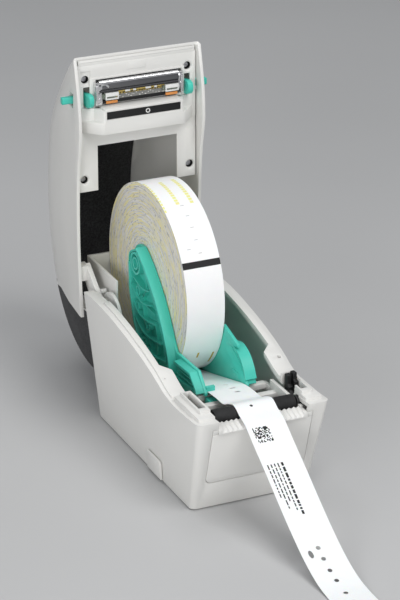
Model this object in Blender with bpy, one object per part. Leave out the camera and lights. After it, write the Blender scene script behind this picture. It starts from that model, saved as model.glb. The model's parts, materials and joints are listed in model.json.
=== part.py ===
"""Narrow desktop label printer with its cover open, built from separate pieces.

Lengths are in millimetres and become metres when a mesh is made.
X is right, Y is back, Z is up; the feet stand on z = 0 below the middle of the base.
"""
import math

import bmesh
import bpy
from mathutils import Matrix, Vector

MM = 0.001
GAP = 0.3                     # clearance between separate pieces
WALL = 2.4                    # wall of the base shell

# base: a drafted box, narrower at the bottom, with a leaning front and rear
HALF_BOTTOM, HALF_SLOPE = 39.5, 0.06
FRONT_BOTTOM, FRONT_SLOPE = -72.8, -0.2848
REAR_BOTTOM, REAR_SLOPE = 72.9, 0.149
CORNERS = [(-1, -1), (1, -1), (-1, 1), (1, 1)]
PAD_X, PAD_Y = 25.4, 52.4     # inner edges of the floor pads above the feet
RIM = [(-100, 66.6), (-91.6, 66), (-63.6, 64), (-43.6, 65.5), (-24.6, 72), (-2.6, 77.5),
       (22.9, 82), (50.4, 85), (76, 85.3), (95, 85)]

# cover hinge: axis along X, rest pose is the open one
HINGE_Y, HINGE_Z = 74.7, 70.1
OPEN_ANGLE = 98.1
COVER_HALF = 43.4
SHELL = 2.0

# media roll
ROLL_Y, ROLL_Z, ROLL_R = 53.6, 99.2, 61.8
MEDIA_HALF = 12.7
CORE_IN, CORE_OUT = 12.7, 14.5

# print line
PLATEN_Y, PLATEN_Z, PLATEN_R, PLATEN_HALF = -75.0, 60.5, 5.5, 26.8
GEAR_MODULE = 0.6
PLATEN_TEETH, IDLER_TEETH, PINION_TEETH = 14, 30, 12
GEAR_X0, GEAR_X1 = 35.7, 38.1

# latch and head, in the open cover
LATCH_Y, LATCH_Z = 106.0, 207.0
PANEL_Y = 96.5
HEAD_Z0, HEAD_Z1 = 205.8, 219.2

# roll holders
CENTRE_Y, CENTRE_Z0, CENTRE_Z1 = 18.5, 20.0, 24.0
CENTRE_TEETH, CENTRE_MODULE = 12, 1.0
RAIL_Y, RAIL_Z, RAIL_R = 36.0, 26.0, 2.0
FOOT_X, FOOT_Y = 31.0, 58.0

# linear colour, roughness, metallic
COLOURS = {
    "housing": (0.78, 0.77, 0.74, 0.45, 0.0), "dark": (0.02, 0.02, 0.022, 0.3, 0.0),
    "teal": (0.06, 0.55, 0.45, 0.4, 0.0), "rubber": (0.015, 0.015, 0.016, 0.7, 0.0),
    "steel": (0.55, 0.56, 0.58, 0.3, 1.0), "black": (0.015, 0.015, 0.015, 0.45, 0.0),
    "paper": (0.86, 0.86, 0.85, 0.7, 0.0), "card": (0.42, 0.31, 0.2, 0.85, 0.0),
    "board": (0.05, 0.2, 0.09, 0.5, 0.0),
    "white": (0.8, 0.8, 0.78, 0.5, 0.0), "brass": (0.7, 0.55, 0.25, 0.3, 1.0),
    "ceramic": (0.07, 0.07, 0.08, 0.25, 0.0), "amber": (0.1, 0.6, 0.2, 0.2, 0.0),
}


# ---------------------------------------------------------------- helpers

def material(name):
    mat = bpy.data.materials.get(name)
    if mat is None:
        red, green, blue, rough, metal = COLOURS[name]
        mat = bpy.data.materials.new(name)
        mat.use_nodes = True
        shader = mat.node_tree.nodes["Principled BSDF"]
        shader.inputs["Base Color"].default_value = (red, green, blue, 1)
        shader.inputs["Roughness"].default_value = rough
        shader.inputs["Metallic"].default_value = metal
        mat.diffuse_color = (red, green, blue, 1)
    return mat


def solid(bm):
    """Closed mesh object, faces out, from a bmesh in millimetres."""
    bmesh.ops.recalc_face_normals(bm, faces=bm.faces)
    bmesh.ops.scale(bm, vec=(MM, MM, MM), verts=bm.verts)
    mesh = bpy.data.meshes.new("solid")
    bm.to_mesh(mesh)
    bm.free()
    obj = bpy.data.objects.new("solid", mesh)
    bpy.context.collection.objects.link(obj)
    return obj


def loft(loops, paired_caps=False):
    """Closed solid through loops that have the same number of points.

    With paired_caps, the end faces are quads between a loop's first half and its second.
    """
    bm = bmesh.new()
    rows = [[bm.verts.new(p) for p in loop] for loop in loops]
    count = len(rows[0])
    for low, high in zip(rows, rows[1:]):
        for i in range(count):
            j = (i + 1) % count
            bm.faces.new((low[i], low[j], high[j], high[i]))
    for row in (rows[0], rows[-1]):
        if paired_caps:
            for i in range(count // 2 - 1):
                bm.faces.new((row[i], row[i + 1], row[count - 2 - i], row[count - 1 - i]))
        else:
            bm.faces.new(row)
    return solid(bm)


def prism(outline, axis, low, high):
    """Outline in the other two axes, in X, Y, Z order, pushed along axis."""
    def place(point, depth):
        values = list(point)
        values.insert("xyz".index(axis), depth)
        return tuple(values)
    return loft([[place(p, low) for p in outline], [place(p, high) for p in outline]])


def box(x0, x1, y0, y1, z0, z1):
    return prism([(x0, y0), (x1, y0), (x1, y1), (x0, y1)], "z", z0, z1)


def arc(cy, cz, radius, start, end, steps):
    """Points on a circle, angles in degrees."""
    turns = [math.radians(start + (end - start) * i / steps) for i in range(steps + 1)]
    return [(cy + radius * math.cos(t), cz + radius * math.sin(t)) for t in turns]


def rod(axis, a, b, radius, low, high, sides=24):
    return prism(arc(a, b, radius, 0, 360, sides)[:-1], axis, low, high)


def ring(a, b, outer, inner, low, high, sides=48):
    """Tube along X."""
    bm = bmesh.new()
    rows = []
    for radius, x in ((outer, low), (outer, high), (inner, high), (inner, low)):
        rows.append([bm.verts.new((x, y, z)) for y, z in arc(a, b, radius, 0, 360, sides)[:-1]])
    for i in range(4):
        low_row, high_row = rows[i], rows[(i + 1) % 4]
        for k in range(sides):
            n = (k + 1) % sides
            bm.faces.new((low_row[k], low_row[n], high_row[n], high_row[k]))
    return solid(bm)


def gear_outline(a, b, teeth, module, phase):
    """Spur gear with straight-sided teeth; one tooth points along phase, in degrees."""
    pitch = module * teeth / 2
    root, tip = pitch - 1.15 * module, pitch + 0.75 * module
    step = 2 * math.pi / teeth
    points = []
    for i in range(teeth):
        mid = math.radians(phase) + i * step
        for radius, side in ((root, -0.29), (tip, -0.11), (tip, 0.11), (root, 0.29)):
            turn = mid + side * step
            points.append((a + radius * math.cos(turn), b + radius * math.sin(turn)))
    return points


def boolean(target, operation, tools):
    for tool in tools:
        mod = target.modifiers.new("cut", "BOOLEAN")
        mod.operation = operation
        mod.solver = "EXACT"
        mod.object = tool
    bpy.context.view_layer.update()
    graph = bpy.context.evaluated_depsgraph_get()
    mesh = bpy.data.meshes.new_from_object(target.evaluated_get(graph))
    target.modifiers.clear()
    target.data = mesh
    for tool in tools:
        bpy.data.objects.remove(tool, do_unlink=True)
    return target


def cut(target, *tools):
    return boolean(target, "DIFFERENCE", tools)


def join(target, *tools):
    return boolean(target, "UNION", tools)


def name_piece(obj, name, colour, pivot=(0, 0, 0), smooth=35):
    """Name the piece and put its origin on its joint axis."""
    origin = Vector(pivot) * MM
    obj.data.transform(Matrix.Translation(-origin))
    obj.location = origin
    obj.name = name
    obj.data.name = name
    obj.data.materials.clear()
    obj.data.materials.append(material(colour))
    obj.data.shade_smooth()
    obj.data.set_sharp_from_angle(angle=math.radians(smooth))
    return obj


def span(side, near, far):
    """X range for a side, from near to far of the middle plane."""
    return (side * near, side * far) if side > 0 else (side * far, side * near)


def opened(y, z):
    """Closed-cover point turned into the open cover."""
    turn = math.radians(-OPEN_ANGLE)
    dy, dz = y - HINGE_Y, z - HINGE_Z
    return (HINGE_Y + dy * math.cos(turn) - dz * math.sin(turn),
            HINGE_Z + dy * math.sin(turn) + dz * math.cos(turn))


def smooth_path(points, steps):
    """Catmull-Rom curve through points of any dimension."""
    ends = [points[0]] + list(points) + [points[-1]]
    out = []
    for i in range(1, len(ends) - 2):
        for k in range(steps):
            t = k / steps
            out.append(tuple(
                0.5 * (2 * b + (c - a) * t + (2 * a - 5 * b + 4 * c - d) * t * t
                       + (3 * b - a - 3 * c + d) * t ** 3)
                for a, b, c, d in zip(ends[i - 1], ends[i], ends[i + 1], ends[i + 2])))
    return out + [tuple(points[-1])]


def strip_outline(path, thickness):
    """Closed outline of a thin strip that follows a path in Y and Z."""
    upper, lower = [], []
    for i, (y, z) in enumerate(path):
        before, after = path[max(i - 1, 0)], path[min(i + 1, len(path) - 1)]
        dy, dz = after[0] - before[0], after[1] - before[1]
        size = math.hypot(dy, dz)
        ny, nz = -dz / size * thickness / 2, dy / size * thickness / 2
        upper.append((y + ny, z + nz))
        lower.append((y - ny, z - nz))
    return upper, lower


def sheet(path, thickness, low, high):
    """Thin bent sheet along a Y-Z path, between two X values."""
    upper, lower = strip_outline(path, thickness)
    loops = []
    for a, b in zip(upper, lower):
        loops.append([(low, *a), (high, *a), (high, *b), (low, *b)])
    return loft(loops)


# ---------------------------------------------------------------- base

def base_level(inset, z, corner):
    half = HALF_BOTTOM + HALF_SLOPE * z - inset
    front = FRONT_BOTTOM + FRONT_SLOPE * z + inset
    rear = REAR_BOTTOM + REAR_SLOPE * z - inset
    points = []
    for cx, cy, start in ((half - corner, rear - corner, 0), (corner - half, rear - corner, 90),
                          (corner - half, front + corner, 180), (half - corner, front + corner, 270)):
        points += arc(cx, cy, corner, start, start + 90, 4)
    return [(x, y, z) for x, y in points]


def frustum(inset, low, high, corner=4.0):
    return loft([base_level(inset, low, corner), base_level(inset, high, corner)])


def above_rim(drop):
    """Everything above the rim curve, lowered by drop."""
    curve = [(y, z - drop) for y, z in smooth_path(RIM, 3)]
    return prism(curve + [(110, 130), (-110, 130)], "x", -60, 60)


def make_base_shell():
    shell = frustum(0, 1.0, 100)
    cut(shell, above_rim(0))
    cavity = cut(frustum(WALL, -2, 98, 2.5), above_rim(WALL))
    bay = prism([(-31, -65), (31, -65), (31, -26), (37, -20), (37, 79), (-37, 79), (-37, -20),
                 (-31, -26)], "z", 40, 120)
    exit_slot = box(-29.5, 29.5, -100, -64, 57, 80)
    cut(shell, cavity, bay, exit_slot)
    for side in (-1, 1):
        x0, x1 = span(side, 30, 40.6)
        low_tier = box(x0, x1, -86, -51, 63.3, 67.5)
        x0, x1 = span(side, 30.2, 37)
        high_tier = box(x0, x1, -80, -51.3, 63.4, 69.5)
        join(shell, low_tier, high_tier)
        x0, x1 = span(side, 31.5, 36)
        pocket = box(x0, x1, -76, -52, 40, 80)
        x0, x1 = span(side, 35.3, 38.6)
        gear_room = rod("x", PLATEN_Y, PLATEN_Z, 6.0, x0, x1, 16)
        x0, x1 = span(side, 27, 38)
        shaft_room = rod("x", PLATEN_Y, PLATEN_Z, 4.6, x0, x1, 16)
        x0, x1 = span(side, 33.4, 38.1)
        arm_notch = box(x0, x1, 77, 95, 59, 100)
        cut(shell, pocket, gear_room, shaft_room, arm_notch)
    tub_room = box(-30.2, 30.2, 70, 100, 38, 100)
    corner = cut(box(-60, 60, HINGE_Y, 110, HINGE_Z, 110),
                 rod("x", HINGE_Y, HINGE_Z, 16.2, -70, 70, 48))
    ports = [box(-30.4, -17.6, 60, 90, 7.6, 18.4), box(-8.4, 8.4, 60, 90, 7.6, 17.4),
             box(13.6, 33.4, 60, 90, 7.6, 20.4), box(-30.4, -17.6, 60, 90, 22.6, 33.4)]
    cut(shell, tub_room, corner, *ports)
    cut(shell, box(29, 32, -70.5, -52, 57, 80), front_plate(33.1, 19.6, 60.5, 1.4, 1.0))
    for x_side, y_side in CORNERS:
        join(shell, foot_pad(x_side, y_side))
    return shell


def foot_pad(x_side, y_side):
    """Corner of the base's floor, joined to both walls, that carries one foot."""
    corner = box(*span(x_side, PAD_X, 60), *span(y_side, PAD_Y, 90), 1.0, 3.0)
    return boolean(corner, "INTERSECT", [frustum(0.5, 0.5, 5)])


def front_plate(half, low, high, depth, proud):
    """Slab that follows the leaning front face, with rounded lower corners."""
    radius = 4.0
    left = arc(radius - half, low + radius, radius, 180, 270, 4)
    right = arc(half - radius, low + radius, radius, 270, 360, 4)
    outline = left + right + [(half, high), (-half, high)]
    loops = []
    for shift in (-proud, depth):
        loops.append([(x, FRONT_BOTTOM + FRONT_SLOPE * z + shift, z) for x, z in outline])
    return loft(loops)


def make_bottom_plate():
    """Cover plate between the foot pads."""
    plate = frustum(WALL + GAP, 1.2, 3.0, 2.5)
    for x_side, y_side in CORNERS:
        cut(plate, box(*span(x_side, PAD_X - GAP, 60), *span(y_side, PAD_Y - GAP, 90), 0, 5))
    return plate


def make_exit_ramp():
    """Ribbed lip between the platen and the front face."""
    half, ribs, steps = 27.0, 17, 4
    count = ribs * steps
    loops = []
    for y, z in ((-82.0, 61.0), (-90.6, 58.5)):
        top = []
        for i in range(count + 1):
            x = -half + 2 * half * i / count
            top.append((x, y, z + 0.5 * math.cos(2 * math.pi * i / steps)))
        loops.append(top + [(half, y, 57.3), (-half, y, 57.3)])
    return loft(loops)


def make_media_deck():
    """Cheeks that hold the platen and sensor rail, joined by two crossbars."""
    deck = box(-28.3, 28.3, -36, -31, 53, 56.4)
    join(deck, box(-28.3, 28.3, -51, -46, 53, 56.4))
    for side in (-1, 1):
        x0, x1 = span(side, 28, 30.2)
        join(deck, box(x0, x1, -82, -41, 49.5, 61.2), box(x0, x1, -60, -31, 49.5, 55.8))
    cut(deck, rod("x", PLATEN_Y, PLATEN_Z, 3.6, -32, 32, 20), box(-32, 32, -77, -73, 60, 70))
    return cut(deck, rod("x", -41, 50.9, 1.5, -29.4, 29.4, 12))


def make_media_tub():
    """Round tub under and behind the roll."""
    outer_r, inner_r, half = 64.8, 63.2, 27.4
    outer = arc(ROLL_Y, ROLL_Z, outer_r, -5, -104, 20)
    inner = arc(ROLL_Y, ROLL_Z, inner_r, -1, -104, 20)
    tub = prism(outer + [(-27.5, 46.8), (-27.5, 53.5), (70, 53.5), (70, 93.5)], "x", -half, half)
    room = prism(inner + [(-30, 48.9), (-30, 200), (130, 200)], "x", 1.6 - half, half - 1.6)
    cut(tub, room)
    cut(tub, box(-40, 40, -35, 68, 49, 120))
    for side in (-1, 1):
        x0, x1 = span(side, 12.9, 36)
        cut(tub, box(x0, x1, 1, 51, 20, 52))
        join(tub, hinge_cheek(side))
    return tub


def hinge_cheek(side):
    """Rounded plate beside the tub, on a foot that meets the tub's wall."""
    outline = arc(66, 73, 14.5, 15, 180, 10) + [(51.5, 50), (77.6, 50)]
    cheek = prism(outline, "x", *span(side, 30.6, 32.6))
    return join(cheek, box(*span(side, 26.5, 31), 70, 77.5, 54, 60))


def make_latch_catch(side):
    """Post that the cover's hook comes down in front of; the right one is a stepped bracket."""
    x0, x1 = span(side, 32.1, 35.2)
    if side < 0:
        return join(box(x0, x1, -57, -53.2, 50.5, 65.4), box(x0, x1, -63, -54, 50.5, 54))
    outline = [(-52.6, 50.5), (-52.6, 69.4), (-56.4, 69.4), (-56.4, 63.4), (-58.6, 62.6), (-58.6, 60.2),
               (-62, 58.4), (-62, 56.2), (-70, 55.2), (-70, 50.5)]
    return prism(outline, "x", x0, x1)


def make_side_clip(side):
    """Small flush tab low on the flank."""
    loops = []
    for shift in (0.3, 1.7):
        loop = []
        for y, z in ((-31.5, 2), (-31.5, 13), (-29.5, 14.5), (-12, 14.5), (-10.5, 13), (-10.5, 2)):
            loop.append((side * (HALF_BOTTOM + HALF_SLOPE * z + shift), y, z))
        loops.append(loop)
    return loft(loops)


def make_board():
    board = box(-36, 36, 16, 68, 5.4, 7.0)
    for x0, x1, y0, y1, height in ((-14, 2, 24, 40, 2), (8, 18, 26, 34, 1.6), (-30, -24, 30, 50, 6),
                                   (22, 30, 40, 54, 3), (-6, 6, 48, 58, 5)):
        join(board, box(x0, x1, y0, y1, 6.5, 7.0 + height))
    return board


def make_motor():
    y, z = gear_places()["pinion"]
    body = rod("x", y, z, 11.8, 12, 32, 32)
    flange = box(32.0, 33.2, y - 11, y + 11, z - 11, z + 11)
    return join(body, flange, rod("x", y, z, 4, 33, 34.4, 20))


def gear_places():
    """Axis points of the train and each gear's phase in degrees."""
    first, second = -68.0, -70.0
    reach = GEAR_MODULE * (PLATEN_TEETH + IDLER_TEETH) / 2
    idler = (PLATEN_Y + reach * math.cos(math.radians(first)),
             PLATEN_Z + reach * math.sin(math.radians(first)))
    reach = GEAR_MODULE * (IDLER_TEETH + PINION_TEETH) / 2
    pinion = (idler[0] + reach * math.cos(math.radians(second)),
              idler[1] + reach * math.sin(math.radians(second)))
    idler_phase = first + 180 + 180 / IDLER_TEETH
    pitch = 360 / IDLER_TEETH
    offset = (idler_phase - second) % pitch
    pinion_phase = second + 180 - offset * IDLER_TEETH / PINION_TEETH + 180 / PINION_TEETH
    return {"idler": idler, "pinion": pinion, "phases": (first, idler_phase, pinion_phase)}


def make_gear(centre, teeth, phase, bore):
    gear = prism(gear_outline(*centre, teeth, GEAR_MODULE, phase), "x", GEAR_X0, GEAR_X1)
    return cut(gear, rod("x", *centre, bore, 30, 45, 12))


def make_holder(side):
    """Arm with its hub, guide plate, slide block and rack."""
    near, far = 13.1, 15.0
    x0, x1 = span(side, near, far)
    back = arc(57, 109, 12, 105, -25, 7)
    shoulder = [(10, 77), (4, 69)] if side < 0 else [(10, 83), (-12, 79)]
    front = [(51, 119.5), (41, 113), (25, 98)] + shoulder
    foot = [(-29, 70), (-36.5, 62), (-39, 59), (-39, 57.2), (-29.5, 57.2), (-29, 50.5), (12, 44),
            (44, 44), (62, 70), (68, 90)]
    holder = prism(front + foot + back[::-1], "x", x0, x1)
    flanges = [
        (smooth_path([(54, 120.6), (41, 112.6), (25, 97.6), (12, 79.5), (4, 62), (3, 46)], 2), 20.5),
        ([(-4, 66.6), (-27.6, 68.2), (-34.9, 61.6), (-37.4, 58.6)], 20.2),
        ([(46, 45.6), (60, 70.6), (65.5, 90), (66, 108)], 19.9)]
    for number, (path, far) in enumerate(flanges, 1):
        x0, x1 = span(side, near + 0.15 * number, far)
        join(holder, sheet(path, 2.0, x0, x1))
    x0, x1 = span(side, 9.5, near + 0.5)
    join(holder, rod("x", ROLL_Y, ROLL_Z, 11.8, x0, x1, 32))
    x0, x1 = span(side, near + 0.7, 20.8)
    join(holder, box(x0, x1, 6, 42, 38, 46.5))
    x0, x1 = span(side, near + 0.8, 21.0)
    join(holder, box(x0, x1, 30, 41.5, CENTRE_Z0 - 0.5, 40))
    cut(holder, rod("x", RAIL_Y, RAIL_Z, RAIL_R + GAP, -60, 60, 16))
    return add_rack(holder, side)


def add_rack(holder, side):
    """Rack beside the centring pinion; the left one runs behind it, the right one before."""
    pitch_r = CENTRE_MODULE * CENTRE_TEETH / 2
    back_side = 1 if side < 0 else -1
    step = math.pi * CENTRE_MODULE
    line = CENTRE_Y + back_side * pitch_r
    outer = line + back_side * 3.6
    tooth_tip = line - back_side * 0.7
    root = line + back_side * 1.2
    teeth = 11
    points = []
    for i in range(teeth):
        mid = -side * (i - teeth + 5.5) * step
        for x, y in ((0.30, root), (0.12, tooth_tip), (-0.12, tooth_tip), (-0.30, root)):
            points.append((mid + side * x * step, y))
    points = [(points[0][0], outer)] + points + [(points[-1][0], outer)]
    rack = prism(points, "z", CENTRE_Z0, CENTRE_Z1)
    reach = span(side, 14.2, 20.4)
    if side < 0:
        join(rack, box(*reach, outer - 1.2, 31, CENTRE_Z0, CENTRE_Z1))
    else:
        join(rack, box(*reach, outer, outer + 2.4, CENTRE_Z0, 30))
        join(rack, box(*reach, outer + 0.4, 34, 29, 40.5))
    return join(holder, rack)


def make_strip():
    """Free strip: out of the roll, over the platen and down to the table."""
    route = [(37.2, 39.2), (20, 43.8), (0, 49.2), (-20, 54.8), (-36, 59.0), (-50, 60.5),
             (-60, 60.9), (-67, 64.0), (-73.5, 66.3), (-78, 65.7), (-83, 63.2), (-92, 59.9),
             (-104, 51.8), (-121, 40.8), (-138, 29.3), (-155, 18.4), (-172, 9.0), (-188, 3.0), (-204, 0.7), (-224, 0.5),
             (-236, 0.5)]
    return sheet(smooth_path(route, 2), 0.4, -MEDIA_HALF, MEDIA_HALF)


# ---------------------------------------------------------------- cover

def parting_edge():
    """Edge of the open cover that meets the rim of the base."""
    curve = [(-91.0, 66.7), (-80, 65.6), (-63.6, 64.7), (-43.6, 66.2), (-24.6, 72.7), (-2.6, 78.2),
             (22.9, 82.7), (42, 84.9), (62, 86.2), (79.4, 86.6)]
    return [opened(y, z) for y, z in curve]


RIDGE = [(96.4, 236.4, 42.0), (106, 230, 41.2), (119, 218.5, 40.2), (140, 197, 38.4),
         (158, 175, 35.6), (169.5, 150, 33.2), (175.4, 127, 31.8), (177, 104, 31.0),
         (174.8, 82, 30.6), (168.3, 62, 30.4)]
CREASE = [0.0, 0.12, 0.22, 0.28, 0.3, 0.28, 0.24, 0.17, 0.08, 0.04]
WINDOW_Y, WINDOW_Z, WINDOW_R = 106.5, 86.9, 68.8
WINDOW_HALF = 27.7


def rib_points(edge, ridge, crease, inset):
    """Cross-section from the left parting edge over the back to the right one."""
    half = COVER_HALF - inset
    ey, ez = edge
    ry, rz, rx = ridge
    away = Vector((ry - 104, rz - 108)).normalized() * inset
    ry, rz, rx = ry - away.x, rz - away.y, rx - inset
    side = [(half, ey, ez)]
    for t in (0.5, 1.0):
        k = crease * t
        side.append((half, ey + (ry - ey) * k, ez + (rz - ez) * k))
    for t in (0.35, 0.7, 0.93):
        bulge = (half - rx) * (t + 0.55 * t * (t - 1))
        k = crease + (1 - crease) * t
        side.append((half - bulge, ey + (ry - ey) * k, ez + (rz - ez) * k))
    side.append((rx - 2.0, ry, rz))
    left = [(-x, y, z) for x, y, z in side]
    return left + side[::-1]


def make_cover_body():
    edges = smooth_path(parting_edge(), 2)
    ridges = smooth_path(RIDGE, 2)
    creases = smooth_path([(c,) for c in CREASE], 2)
    loops = []
    for edge, ridge, crease in zip(edges, ridges, creases):
        outer = rib_points(edge, ridge, crease[0], 0)
        inner = rib_points(edge, ridge, crease[0], SHELL)
        loops.append(outer + inner[::-1])
    return loft(loops, paired_caps=True)


def window_path():
    """Back profile of the dark panel: down the hump, then round to the rear edge."""
    start = [(y, z) for y, z, _ in RIDGE[4:9]]
    return smooth_path(start, 3) + arc(WINDOW_Y, WINDOW_Z, WINDOW_R, -14, -99, 16)


def inset_path(path, depth):
    """Path moved towards the middle of the cover."""
    out = []
    for y, z in path:
        away = Vector((y - 104, z - 96)).normalized() * depth
        out.append((y - away.x, z - away.y))
    return out


def make_cover_shell():
    shell = make_cover_body()
    half = WINDOW_HALF + GAP
    cut(shell, sheet(inset_path(window_path()[:18], -1), 14, -half, half))
    for side in (-1, 1):
        x0, x1 = span(side, 33.6, 36.6)
        arm = prism(arc(HINGE_Y, HINGE_Z, 7, 130, 340, 10) + [(104, 88), (98, 97)], "x", x0, x1)
        x0, x1 = span(side, 35.2, 42.4)
        pad = box(x0, x1, 95.5, 103.5, 86, 96)
        join(arm, pad)
        cut(arm, rod("x", HINGE_Y, HINGE_Z, 3.3, -60, 60, 20))
        join(shell, arm)
        x0, x1 = span(side, 38, 50)
        cut(shell, box(x0, x1, 97, 105, 203.4, 212.6))
    cut(shell, button_rod(6.4, -8, 8, 0), button_rod(2.4, -8, 8, 14))
    return shell


BUTTON_Y, BUTTON_Z = 129.8, 208.0
BUTTON_N = (math.cos(math.radians(43)), math.sin(math.radians(43)))


def button_rod(radius, low, high, x, sides=24):
    """Round along the roof normal, at the button's place shifted in X."""
    ny, nz = BUTTON_N
    loops = []
    for depth in (low, high):
        loop = []
        for a, b in arc(0, 0, radius, 0, 360, sides)[:-1]:
            loop.append((x + a, BUTTON_Y + ny * depth - nz * b, BUTTON_Z + nz * depth + ny * b))
        loops.append(loop)
    return loft(loops)


def make_cover_window():
    path = inset_path(window_path(), 1.15)
    window = sheet(path, 1.9, -WINDOW_HALF, WINDOW_HALF)
    for side in (-1, 1):
        outline = arc(WINDOW_Y, WINDOW_Z, WINDOW_R - 0.3, -25, -99, 14) + [(93, 57)]
        join(window, prism(outline, "x", *span(side, 27.5, 29.6)))
    return window


def make_inner_panel():
    panel = box(-40.4, 40.4, PANEL_Y, PANEL_Y + 1.8, 146.5, 230.7)
    cut(panel, box(-27.5, 27.5, 90, 110, 140, 176.5),
        box(-30.6, 30.6, 90, 110, HEAD_Z0 - 2, HEAD_Z1 + 1))
    for side in (-1, 1):
        x0, x1 = span(side, 31.4, 36.6)
        cut(panel, box(x0, x1, 90, 110, 202.9, 216.2))
    holes = [rod("y", x, z, 2.6, 90, 110, 16) for x, z in screw_places()]
    return cut(panel, *holes)


def screw_places():
    return [(-35, 221), (35, 221), (-36.6, 154.4), (36.6, 154.4)]


def make_head_cover():
    """Block below the head that carries the sensor."""
    outline = [(-38, 96.2), (-29, 86.3), (-26.7, 85.4), (26.7, 85.4), (29, 86.3), (38, 96.2)]
    block = prism(outline, "z", 187, 194.6)
    wings = [(-38, 96.2), (-30.4, 93.9), (-27.4, 86.1), (-26.5, 85.4), (26.5, 85.4), (27.4, 86.1),
             (30.4, 93.9), (38, 96.2)]
    join(block, prism(wings, "z", 190, 202.5), box(-26.5, 26.5, 85.4, 96.1, 190, 203.5))
    return cut(block, box(-25.3, 25.3, 80, 86.5, 196.7, 201.9))


def make_head_bracket():
    bracket = box(-29.6, 29.6, 99.2, 100.2, 206.4, HEAD_Z1)
    for side in (-1, 1):
        x0, x1 = span(side, 28.4, 29.6)
        ear = prism([(91.5, 208), (91.5, 217), (94, 219), (100, 219), (100, 207), (94, 207)],
                    "x", x0, x1)
        join(bracket, ear)
    return bracket


def make_latch_lever(side):
    """Hook, ring round the latch bar, and thumb tab through the cover's flank."""
    x0, x1 = span(side, 32.2, 35.4)
    outline = arc(LATCH_Y, LATCH_Z, 4.6, -120, 120, 8)
    outline += [(98, 212), (92, 212.7), (89.4, 211.8), (88.4, 209.6), (88.7, 206.6), (90.6, 204.4),
                (93.8, 203.5), (98, 203.5)]
    lever = prism(outline, "x", x0, x1)
    cut(lever, rod("x", LATCH_Y, LATCH_Z, 2.0 + GAP, -60, 60, 16))
    x0, x1 = span(side, 35, 49.6)
    return join(lever, prism([(98.9, 206.4), (99.8, 205.6), (102, 205.6), (102.9, 206.4), (102.9, 210),
                              (98.9, 210)], "x", x0, x1))


# ---------------------------------------------------------------- assembly

def build_base():
    name_piece(make_base_shell(), "base_shell", "housing")
    name_piece(front_plate(32.8, 19.9, 56.6, 1.1, 0.2), "front_panel", "housing")
    name_piece(make_exit_ramp(), "exit_ramp", "housing")
    name_piece(make_bottom_plate(), "bottom_plate", "housing")
    for y, row in ((-FOOT_Y, "front"), (FOOT_Y, "rear")):
        for x, word in ((-FOOT_X, "left"), (FOOT_X, "right")):
            name_piece(rod("z", x, y, 5, 0, 0.9, 20), f"foot_{row}_{word}", "rubber")
    name_piece(make_media_deck(), "media_deck", "housing")
    name_piece(make_media_tub(), "media_tub", "housing")
    for side, word in ((-1, "left"), (1, "right")):
        name_piece(make_latch_catch(side), "latch_catch_" + word, "black")
        name_piece(make_side_clip(side), "side_clip_" + word, "housing")
        pin = rod("x", HINGE_Y, HINGE_Z, 3.0, *span(side, 33.2, 40.9), 20)
        name_piece(pin, "hinge_pin_" + word, "steel")
        bushing = ring(PLATEN_Y, PLATEN_Z, 3.3, 1.9, *span(side, 28, 30.4), 20)
        name_piece(bushing, "platen_bushing_" + word, "brass")
    name_piece(make_board(), "main_board", "board")
    name_piece(box(-30, -18, 61, 75.2, 8, 18), "power_inlet", "black")
    name_piece(box(-8, 8, 63, 75.2, 8, 17), "usb_port", "steel")
    name_piece(box(14, 33, 64, 75.8, 8, 20), "serial_port", "steel")
    name_piece(make_motor(), "drive_motor", "steel")
    idler = gear_places()["idler"]
    name_piece(rod("x", *idler, 1.4, 34.0, 38.9, 12), "idler_stud", "steel")
    name_piece(rod("x", -41, 50.9, 1.2, -29.1, 29.1, 12), "sensor_rail", "steel")
    name_piece(rod("x", RAIL_Y, RAIL_Z, RAIL_R, -37.5, 37.5, 16), "holder_rail", "steel")
    name_piece(rod("z", 0, CENTRE_Y, 1.6, 10, 25.5, 12), "centring_stud", "steel")
    name_piece(make_strip(), "label_strip", "paper")


def build_drive():
    places = gear_places()
    phases = places["phases"]
    platen = (0, PLATEN_Y, PLATEN_Z)
    roller = ring(PLATEN_Y, PLATEN_Z, PLATEN_R, 2.9, -PLATEN_HALF, PLATEN_HALF, 32)
    name_piece(roller, "platen_roller", "rubber", platen)
    shaft = rod("x", PLATEN_Y, PLATEN_Z, 2.6, -PLATEN_HALF, PLATEN_HALF, 16)
    join(shaft, rod("x", PLATEN_Y, PLATEN_Z, 1.6, -31.2, 38.7, 16))
    name_piece(shaft, "platen_shaft", "steel", platen)
    gear = make_gear((PLATEN_Y, PLATEN_Z), PLATEN_TEETH, phases[0], 1.6 + GAP)
    name_piece(gear, "platen_gear", "white", platen)
    gear = make_gear(places["idler"], IDLER_TEETH, phases[1], 1.4 + GAP)
    name_piece(gear, "idler_gear", "white", (0, *places["idler"]))
    pinion = prism(gear_outline(*places["pinion"], PINION_TEETH, GEAR_MODULE, phases[2]), "x",
                   GEAR_X0, GEAR_X1)
    join(pinion, rod("x", *places["pinion"], 1.5, 34.7, 37, 12))
    name_piece(pinion, "motor_pinion", "brass", (0, *places["pinion"]))


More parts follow.
